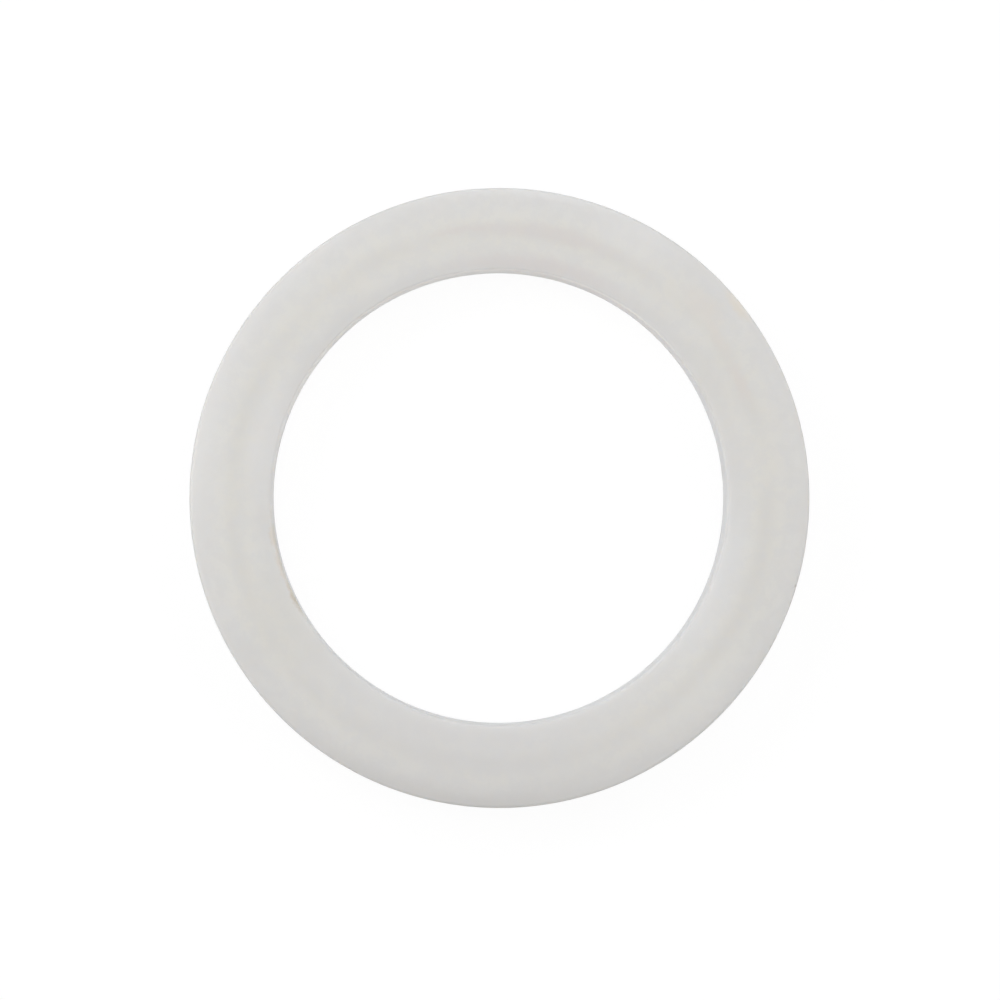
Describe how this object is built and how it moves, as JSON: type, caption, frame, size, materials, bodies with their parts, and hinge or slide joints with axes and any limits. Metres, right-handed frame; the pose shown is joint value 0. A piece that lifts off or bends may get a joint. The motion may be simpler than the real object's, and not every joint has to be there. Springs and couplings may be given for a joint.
{
  "type": "ball valve seat",
  "caption": "Round soft plastic seat ring with a crowned front face and a narrow spherical band at the bore edge that a valve ball bears on.",
  "frame": {"origin": "centre of the flat back face, on the ring's axis", "axes": "+Z along the ring's axis, out of the front face towards the ball; the ring is round, so X and Y are free"},
  "size_m": [0.036, 0.036, 0.005],
  "materials": {
    "ptfe": "milky white turned PTFE, soft semi-matte"
  },
  "bodies": {
    "root": {"seat_ring": "ptfe"}
  },
  "joints": []
}
